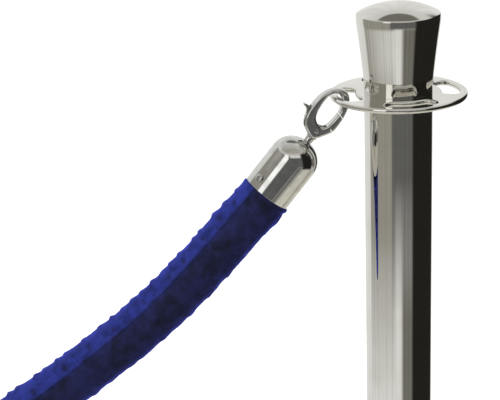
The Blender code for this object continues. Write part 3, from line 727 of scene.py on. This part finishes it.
def build_hook(side, place, chrome, zinc, spring_steel):
    """A snap hook: body with shank, sprung lever, rivet and spring."""
    hook_body = side + "_hook"
    gate_body = side + "_gate_lever"
    loop = [LOOP_OUTLINE, WINDOW_OUTLINE]
    body = plate(side + "_snap_hook", loop, HOOK_WIDTH, LOOP_EDGE, chrome, place)
    combine(body, gate_stretch(side + "_opening", -GATE_END_GAP / 2, place), "DIFFERENCE")
    shank = lathe(side + "_shank", rounded([
        (0, 4.6 * MM, 0), (2.6 * MM, 4.4 * MM, 0.6 * MM), (4.5 * MM, 2.9 * MM, 1.0 * MM),
        (3.4 * MM, 1.2 * MM, 0.6 * MM), (3.4 * MM, GAP - CAP_TOP, 0.3 * MM),
        (SHANK_RADIUS, GAP - CAP_TOP, 0), (SHANK_RADIUS, -12 * MM, 0.4 * MM),
        (0, -12 * MM, 0)], closed=False), chrome, place, closed=False, sides=64)
    combine(body, shank, "UNION")
    slot = plate(side + "_lever_slot", [LEVER_SLOT_OUTLINE], LEVER_SLOT, 0.0, None, place,
                 resolution=2)
    combine(body, slot, "DIFFERENCE")
    combine(body, rivet_bore(side, place), "DIFFERENCE")
    even_normals(body)
    stand_for(body, side + "_hook_body", hook_body)

    lever = plate(side + "_lever", [LEVER_ARM_OUTLINE], ARM_WIDTH, 0.25 * MM, chrome, place,
                  offset=ARM_OFFSET)
    bar = plate(side + "_bar", loop, HOOK_WIDTH, LOOP_EDGE, chrome, place)
    combine(bar, gate_stretch(side + "_gate_ends", GATE_END_GAP / 2, place), "INTERSECT")
    combine(lever, bar, "UNION")
    combine(lever, plate(side + "_tab", [THUMB_TAB_OUTLINE], TAB_WIDTH, 0.5 * MM, chrome, place),
            "UNION")
    combine(lever, rivet_bore(side, place), "DIFFERENCE")
    even_normals(lever)
    stand_for(lever, side + "_gate", gate_body)

    half = HOOK_WIDTH / 2
    ends = [(0, half - 0.5 * MM, 0), (0.75 * MM, half - 0.45 * MM, 0.2 * MM),
            (1.15 * MM, half + 0.12 * MM, 0.15 * MM), (PIN_RADIUS, half, 0.15 * MM)]
    foot = [(radius, -height, rounding) for radius, height, rounding in ends[::-1]]
    lying = (place @ Matrix.Translation(PIN_PLACE) @ Matrix.Rotation(math.pi / 2, 4, "X"))
    rivet = lathe(side + "_rivet", rounded(ends + foot, closed=False, steps=5), zinc, lying,
                  closed=False, sides=48)
    stand_for(rivet, side + "_gate_pin", hook_body)

    spring = build_spring(side, place, spring_steel)
    stand_for(spring, side + "_gate_spring", hook_body)
    return [body, lever, rivet, spring]


def gate_stretch(name, inset, place):
    """A block round the stretch of the loop that opens, with its two ends moved in."""
    foot, foot_out, nose_out, nose = GATE_STRETCH
    outline = [(x, z + inset, True) for x, z in (foot, foot_out)]
    outline += [(x, z - inset, True) for x, z in (nose_out, nose)]
    return plate(name, [outline], HOOK_WIDTH + 2 * MM, 0.0, None, place)


def rivet_bore(side, place):
    """A cutter for the rivet's hole."""
    reach = HOOK_WIDTH
    lying = place @ Matrix.Translation(PIN_PLACE) @ Matrix.Rotation(math.pi / 2, 4, "X")
    return lathe(side + "_bore", [(0, reach), (PIN_RADIUS + 0.1 * MM, reach),
                                  (PIN_RADIUS + 0.1 * MM, -reach), (0, -reach)], None, lying,
                 closed=False, sides=48)


def build_spring(side, place, material):
    """The torsion spring beside the lever's hub, with its two legs."""
    steps = 40
    pitch = 2.6 * SPRING_WIRE
    coil = []
    for index in range(SPRING_TURNS * steps + 1):
        turns = index / steps
        angle = 2 * math.pi * turns - math.pi / 2
        coil.append(Vector((SPRING_RADIUS * math.cos(angle),
                            SPRING_OFFSET + pitch * (turns - SPRING_TURNS / 2),
                            SPRING_RADIUS * math.sin(angle))))
    tail = Vector((-8.5 * MM, coil[0].y, -1.5 * MM))
    leg = Vector((5 * MM, coil[-1].y, -0.5 * MM))
    return wire(side + "_spring", [tail, *coil, leg], SPRING_WIRE, material,
                place @ Matrix.Translation(PIN_PLACE))


# ---------------------------------------------------------------- post

def build_tube(steel):
    """The post's tube with softened ends."""
    low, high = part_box("post_tube")
    inner = TUBE_RADIUS - TUBE_WALL
    tube = lathe("tube", rounded([
        (TUBE_RADIUS, high.z, 0.4 * MM), (TUBE_RADIUS, low.z, 0.4 * MM),
        (inner, low.z, 0.4 * MM), (inner, high.z, 0.4 * MM)], steps=3), steel, sides=192)
    stand_for(tube, "post_tube", "post")


SLOT_INNER = 32 * MM
SLOT_OUTER = 45 * MM
SLOT_HALF_ANGLE = math.radians(27)
SLOT_CORNER = 5 * MM
RING_BORE = 5.4 * MM


def circle(radius, sides):
    """Points round a circle about the origin."""
    turn = 2 * math.pi / sides
    return [(radius * math.cos(i * turn), radius * math.sin(i * turn)) for i in range(sides)]


def slot_outline(direction):
    """A kidney slot with rounded corners, centred on a direction."""
    points = []
    corners = [(SLOT_OUTER - SLOT_CORNER, -1, -90), (SLOT_OUTER - SLOT_CORNER, 1, 0),
               (SLOT_INNER + SLOT_CORNER, 1, 90), (SLOT_INNER + SLOT_CORNER, -1, 180)]
    for radius, side, start in corners:
        angle = direction + side * (SLOT_HALF_ANGLE - math.asin(SLOT_CORNER / radius))
        for step in range(13):
            turn = angle + math.radians(start + 90 * step / 12)
            points.append((radius * math.cos(angle) + SLOT_CORNER * math.cos(turn),
                           radius * math.sin(angle) + SLOT_CORNER * math.sin(turn)))
        if (side, start) in ((-1, -90), (1, 90)):
            rim = SLOT_OUTER if side == -1 else SLOT_INNER
            reach = SLOT_HALF_ANGLE - math.asin(SLOT_CORNER / radius)
            for step in range(1, 24):
                along = direction + side * reach * (1 - 2 * step / 24)
                points.append((rim * math.cos(along), rim * math.sin(along)))
    return points


def build_ring(steel):
    """The ring plate, with fully rounded edges on its rim and slots."""
    low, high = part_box("hook_ring")
    curve = flat_curve("ring", high.z - low.z, 1.85 * MM)
    add_poly(curve, circle(high.x, 256))
    add_poly(curve, circle(RING_BORE, 48))
    for index in range(4):
        add_poly(curve, slot_outline(index * math.pi / 2))
    ring = filled(curve, "ring", steel, Matrix.Translation((0, 0, (low.z + high.z) / 2)))
    even_normals(ring)
    stand_for(ring, "hook_ring", "post")


FINIAL_NECK = 4 * MM
FINIAL_BAND = 53.5 * MM
FINIAL_RIM = 58 * MM
FINIAL_RIM_RADIUS = 31 * MM
FINIAL_WALL = 1.4 * MM
FINIAL_FLARE_POWER = 1.2


def flare_radius(height):
    """The finial's radius at a height above the ring, with its bends eased."""
    radii = []
    for shift in (-2, -1, 0, 1, 2):
        share = (height + shift * MM - FINIAL_NECK) / (FINIAL_BAND - FINIAL_NECK)
        flare = min(1.0, max(0.0, share)) ** FINIAL_FLARE_POWER
        radii.append(TUBE_RADIUS + (FINIAL_RIM_RADIUS - TUBE_RADIUS) * flare)
    return sum(radii) / len(radii)


def build_finial(steel):
    """The flared finial: a shallow crown, a crisp rim and a waist that runs into the neck."""
    low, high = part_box("finial_shell")
    base = low.z - GAP
    rim = base + FINIAL_RIM
    crown = high.z
    edge = rim + 0.6 * MM
    rise = crown - edge
    reach = FINIAL_RIM_RADIUS - 0.8 * MM
    sphere = (reach ** 2 + rise ** 2) / (2 * rise)
    spread = math.asin(reach / sphere)
    outer = []
    steps = 36
    for index in range(steps + 1):
        angle = spread * index / steps
        outer.append((sphere * math.sin(angle), crown - sphere * (1 - math.cos(angle))))
    lip = 0.8 * MM / (1 - math.sin(spread))
    for step in range(1, 9):
        angle = (math.pi / 2 - spread) * (1 - step / 8)
        outer.append((reach + lip * (math.cos(angle) - math.sin(spread)),
                      edge + lip * (math.sin(angle) - math.cos(spread))))
    drop = outer[-1][1] - base
    for step in range(1, 49):
        height = drop * (1 - step / 48)
        if height > 0.4 * MM:
            outer.append((flare_radius(height), base + height))
    outer += rounded([(TUBE_RADIUS, base + 0.4 * MM, 0), (TUBE_RADIUS, base + CONTACT, 0.1 * MM),
                      (TUBE_RADIUS - FINIAL_WALL, base + CONTACT, 0.3 * MM),
                      (TUBE_RADIUS - FINIAL_WALL, base + 12 * MM, 0)], closed=False)
    outer += [(FINIAL_RIM_RADIUS - 3 * MM, rim - 3 * MM), (FINIAL_RIM_RADIUS - 4 * MM, rim),
              (0, crown - FINIAL_WALL)]
    finial = lathe("finial", outer, steel, closed=False, sides=192)
    stand_for(finial, "finial_shell", "post")


COVER_RADIUS = 160 * MM
COVER_WALL = 1.2 * MM
COVER_TOP = 46 * MM
COVER_SHOULDER_RADIUS = 150 * MM
COVER_SHOULDER_HEIGHT = 16 * MM
COVER_HEM_HEIGHT = 3 * MM
COLLAR_RADIUS = 33 * MM


def cover_side(wall, steps=36):
    """Half of the cover's profile, from the tube out to the hem, set in by wall."""
    side = [(TUBE_RADIUS + GAP, COVER_TOP - wall)]
    reach = COVER_SHOULDER_RADIUS - COLLAR_RADIUS
    for index in range(steps + 1):
        share = index / steps
        side.append((COLLAR_RADIUS + (reach - wall) * share,
                     COVER_TOP - wall - (COVER_TOP - COVER_SHOULDER_HEIGHT) * share ** 2))
    drop = COVER_SHOULDER_HEIGHT - wall - COVER_HEM_HEIGHT
    out = COVER_RADIUS - COVER_SHOULDER_RADIUS
    lean = math.radians(27)
    for index in range(1, 13):
        angle = lean + (math.pi / 2 - lean) * index / 12
        shift = (math.sin(angle) - math.sin(lean)) / (1 - math.sin(lean))
        side.append((COVER_SHOULDER_RADIUS - wall + out * shift,
                     COVER_HEM_HEIGHT + drop * math.cos(angle) / math.cos(lean)))
    return side


def build_base(steel, rubber):
    """The dished cover, the collar round the tube and the rubber foot ring."""
    cover = lathe("cover", cover_side(0) + cover_side(COVER_WALL)[::-1], steel, sides=256)
    stand_for(cover, "base_cover", "post")

    low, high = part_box("base_collar")
    bore = TUBE_RADIUS + GAP
    collar = lathe("collar", rounded([
        (bore, high.z, 0.2 * MM), (bore + 1.5 * MM, high.z, 0.6 * MM),
        (COLLAR_RADIUS - 3.0 * MM, low.z + 5 * MM, 4 * MM),
        (COLLAR_RADIUS, low.z + 2.6 * MM, 1.2 * MM),
        (COLLAR_RADIUS, low.z, 0.2 * MM), (bore, low.z, 0.2 * MM)]), steel, sides=160)
    stand_for(collar, "base_collar", "post")

    low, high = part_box("floor_ring")
    inner = 136 * MM
    foot = lathe("foot_ring", rounded([
        (high.x, high.z, 0.5 * MM), (high.x, low.z, 0.8 * MM), (150 * MM, low.z, 0.3 * MM),
        (149 * MM, low.z + 0.8 * MM, 0.3 * MM), (145 * MM, low.z + 0.8 * MM, 0.3 * MM),
        (144 * MM, low.z, 0.3 * MM), (inner, low.z, 0.8 * MM), (inner, high.z, 0.5 * MM)]),
        rubber, sides=192)
    stand_for(foot, "floor_ring", "post")


# ---------------------------------------------------------------- stage

SHELL_RADIUS = 8.0
SHELL_HEIGHT = 0.95
STREAK_SCALE = 60               # streaks to a turn of the shell
STREAK_DEPTH = 0.1              # how far a streak lightens or darkens the walls

# The studio that the polished metal mirrors, in round figures; a light level of 1 is lit white
# paper
PAPER = (1.0, 1.0, 0.97)
WARM = (1.0, 0.96, 0.84)
BACKDROP_LEVEL = 0.85
# Each stretch lies over the ones before it: its degrees round from the camera, positive to the
# right, its degrees up, the width of its soft edge, its light level and its tint
STRETCHES = {
    "floor": ((-200, 200), (-90, -33), 5, 0.75, WARM),
    "side wall": ((-110, -12), (-25, 34), 8, 0.35, WARM),
    "floor in shade": ((12, 60), (-34, -20), 10, 0.2, WARM),
    "unlit room": ((-22, 55), (-22, 24), 6, 0.14, PAPER),
    "black flag": ((48, 155), (-34, 40), 8, 0.02, WARM),
    "white card": ((-42, -20), (0, 36), 3, 1.35, PAPER),
}
CEILING_BACK = 0.75
CEILING_FRONT = 0.5
CEILING_GAP = 0.2
GAP_PLACE = (0.0, 0.5)          # right and away, as slopes from straight up
GAP_REACH = (0.4, 0.25)
GAP_EDGE = (0.6, 1.1)           # where the gap's edge starts and ends, as squared reach
CEILING_SLOPES = (-0.4, 0.3)    # away, from the ceiling's front level to its back level
CEILING_RISES = (33, 48)        # degrees up over which the walls turn into the ceiling
STEEL_COLOUR = (0.74, 0.73, 0.70)


def lit(level, tint):
    """A tint at a light level."""
    return tuple(level * part for part in tint)


def window(finish, value, low, high, edge):
    """1 between two values and 0 outside them, over a soft edge centred on each."""
    half = edge / 2
    rising = finish.spread(value, low - half, low + half)
    falling = finish.spread(value, high + half, high - half)
    return finish.math("MULTIPLY", rising, falling)


def build_surroundings():
    """A shell round everything that only the metal's reflections show."""
    finish = Finish("surroundings", (0, 0, 0), 1.0)
    split = finish.node("ShaderNodeSeparateXYZ")
    finish.link(finish.place, split.inputs[0])
    right, away, height = split.outputs
    ahead = finish.math("MULTIPLY", away, -1.0)
    share = finish.spread(finish.math("ARCTAN2", right, ahead), -math.pi, math.pi)
    turn = finish.spread(share, 0, 1, -180, 180)
    rise = finish.spread(finish.math("ARCSINE", height), -math.pi / 2, math.pi / 2, -90, 90)
    wall = lit(BACKDROP_LEVEL, PAPER)
    for turns, rises, edge, level, tint in STRETCHES.values():
        inside = finish.math("MULTIPLY", window(finish, turn, *turns, edge),
                             window(finish, rise, *rises, edge))
        wall = finish.mix(inside, wall, lit(level, tint))
    streaks = finish.node("ShaderNodeTexNoise", noise_dimensions="1D", Scale=STREAK_SCALE,
                          Detail=2.0)
    finish.link(share, streaks.inputs["W"])
    streaked = finish.node("ShaderNodeVectorMath", operation="SCALE")
    finish.link(wall, streaked.inputs[0])
    finish.link(finish.spread(streaks.outputs["Fac"], 0.3, 0.7,
                              1 - STREAK_DEPTH, 1 + STREAK_DEPTH),
                streaked.inputs["Scale"])

    across = finish.math("DIVIDE", right, height)
    depth = finish.math("DIVIDE", away, height)
    ceiling = finish.mix(finish.spread(depth, *CEILING_SLOPES), lit(CEILING_FRONT, WARM),
                         lit(CEILING_BACK, PAPER))
    across = finish.math("DIVIDE", finish.math("SUBTRACT", across, GAP_PLACE[0]), GAP_REACH[0])
    depth = finish.math("DIVIDE", finish.math("SUBTRACT", depth, GAP_PLACE[1]), GAP_REACH[1])
    squares = finish.math("ADD", finish.math("MULTIPLY", across, across),
                          finish.math("MULTIPLY", depth, depth))
    ceiling = finish.mix(finish.spread(squares, *GAP_EDGE), lit(CEILING_GAP, WARM), ceiling)
    room = finish.mix(finish.spread(rise, *CEILING_RISES), streaked.outputs[0], ceiling)

    glow = finish.node("ShaderNodeEmission")
    finish.link(room, glow.inputs["Color"])
    finish.link(glow.outputs[0], finish.tree.nodes["Material Output"].inputs["Surface"])
    finish.tree.nodes.remove(finish.shader)
    shape = bmesh.new()
    bmesh.ops.create_icosphere(shape, subdivisions=5, radius=1.0)
    mesh = bpy.data.meshes.new("surroundings")
    shape.to_mesh(mesh)
    shape.free()
    place = (Matrix.Translation((0, 0, SHELL_HEIGHT)) @ Matrix.Scale(SHELL_RADIUS, 4)
             @ Matrix.Rotation(-math.radians(CAMERA_SIDE), 4, "Z"))
    shell = add_piece("surroundings", mesh, finish.material, place)
    shell.visible_camera = False
    shell.visible_diffuse = False
    shell.visible_transmission = False
    shell.visible_volume_scatter = False
    shell.visible_shadow = False


def add_light(name, spot, aim, size, power, colour=(1, 1, 1)):
    """A soft square light that mirrors don't show, because the surroundings stand for it."""
    data = bpy.data.lights.new(name, "AREA")
    data.shape = "SQUARE"
    data.size = size
    data.energy = power
    data.color = colour
    light = bpy.data.objects.new(name, data)
    bpy.context.scene.collection.objects.link(light)
    light.location = spot
    light.rotation_euler = (Vector(aim) - Vector(spot)).to_track_quat("-Z", "Y").to_euler()
    light.visible_glossy = False
    light.visible_camera = False


def build_stage():
    """Pale floor, white world, soft light from above and the left, and the studio shell."""
    shape = bmesh.new()
    bmesh.ops.create_grid(shape, x_segments=8, y_segments=8, size=20)
    mesh = bpy.data.meshes.new("floor")
    shape.to_mesh(mesh)
    shape.free()
    finish = Finish("floor_paper", (0.86, 0.86, 0.85), 0.9)
    finish.shader.inputs["Specular IOR Level"].default_value = 0.0
    fibre = finish.spread(finish.noise(240, 4), 0.35, 0.65)
    finish.link(finish.mix(fibre, (0.86, 0.86, 0.85), (0.83, 0.83, 0.82)),
                finish.shader.inputs["Base Color"])
    floor = add_piece("floor", mesh, finish.material, smooth=0)
    floor.visible_glossy = False

    world = bpy.data.worlds.new("world")
    world.use_nodes = True
    world.node_tree.nodes["Background"].inputs["Color"].default_value = (1, 1, 1, 1)
    world.node_tree.nodes["Background"].inputs["Strength"].default_value = 1.15
    bpy.context.scene.world = world
    world.cycles_visibility.glossy = False
    bpy.context.scene.view_settings.view_transform = "Standard"

    add_light("overhead", (-0.5, -0.3, 3.2), (-0.1, 0, 0.8), 2.4, 75)
    add_light("key", (-2.4, -1.4, 2.4), (-0.15, 0, 0.8), 1.6, 35)
    build_surroundings()


# ---------------------------------------------------------------- finishes on CAD nodes

def dress(node, material):
    """Give a CAD node that stays its finish."""
    piece = frame["nodes"][node]
    piece.data.materials.clear()
    piece.data.materials.append(material)


def main():
    """Build everything in order: camera, rope, caps and hooks, post, stage."""
    steel = polished_metal("polished_steel", STEEL_COLOUR, (0.69, 0.68, 0.64), 0.02, 0.06,
                           0.00003)
    chrome = plated_metal("chrome_plate", (0.70, 0.70, 0.69), 0.05, 0.11, 0.000003)
    zinc = plated_metal("zinc_plated_steel", (0.60, 0.60, 0.60), 0.16, 0.32, 0.00001)
    spring_steel = plated_metal("spring_steel", (0.34, 0.34, 0.35), 0.2, 0.35, 0.000004)
    iron = rough_coat("cast_iron", (0.035, 0.035, 0.038), (0.09, 0.085, 0.08), 180, 0.8, 0.0006)
    rubber = rough_coat("rubber", (0.016, 0.016, 0.016), (0.035, 0.034, 0.033), 300, 0.9,
                        0.0001)
    fibre = rough_coat("fibre", (0.035, 0.03, 0.026), (0.07, 0.06, 0.05), 500, 0.85, 0.00005)
    wood = turned_wood("turned_wood")
    velvet = crushed_velvet("crushed_velvet")

    build_camera()
    near = hook_place("near_swivel")
    far = hook_place("far_swivel")
    rope, length = build_velvet(near, far, velvet)
    rope_pieces = []
    for side, place in (("near", near), ("far", far)):
        rope_pieces += build_cap(side, place, chrome, zinc)
        rope_pieces += build_hook(side, place, chrome, zinc, spring_steel)
        rope_pieces += [frame["nodes"][side + name]
                        for name in ("_rope_core", "_swivel_nut", "_swivel_washer")]
        dress(side + "_rope_core", wood)
        dress(side + "_swivel_nut", zinc)
        dress(side + "_swivel_washer", zinc)
    path, _ = spaced(rope_line(near, far), 10 * MM)

    build_tube(steel)
    build_ring(steel)
    build_finial(steel)
    build_base(steel, rubber)
    dress("ring_gasket", fibre)
    dress("base_weight", iron)
    for node in ("base_bolt", "base_washer", "base_lock_washer", "foot_plug", "top_plug",
                 "finial_insert", "finial_stud"):
        dress(node, zinc)
    build_stage()


main()
